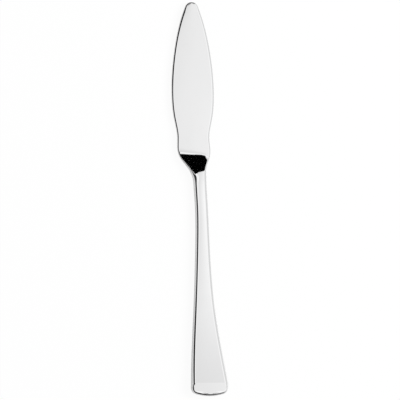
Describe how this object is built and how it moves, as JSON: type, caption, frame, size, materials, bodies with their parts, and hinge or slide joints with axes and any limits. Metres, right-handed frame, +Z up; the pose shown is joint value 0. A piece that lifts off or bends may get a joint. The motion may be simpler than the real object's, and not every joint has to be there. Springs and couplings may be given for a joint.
{
  "type": "fish knife",
  "caption": "Polished steel fish knife with a blunt lancet blade, a stepped heel, a ramped neck and a hollow flat-faced handle that flares to a bevelled butt.",
  "frame": {"origin": "on the table, under the middle of the knife's footprint, with the knife lying on the flat back of its handle", "axes": "+Y from the butt of the handle towards the tip of the blade, +X from the cutting edge towards the spine, +Z up"},
  "size_m": [0.0298, 0.205, 0.007],
  "materials": {
    "polished_steel": "polished",
    "silver_solder": "satin",
    "set_cement": "matte"
  },
  "bodies": {
    "root": {"blade": "polished_steel", "handle_front_shell": "polished_steel", "handle_back_shell": "polished_steel", "side_seam_solder": "silver_solder", "mouth_solder": "silver_solder", "handle_filler": "set_cement"}
  },
  "joints": []
}
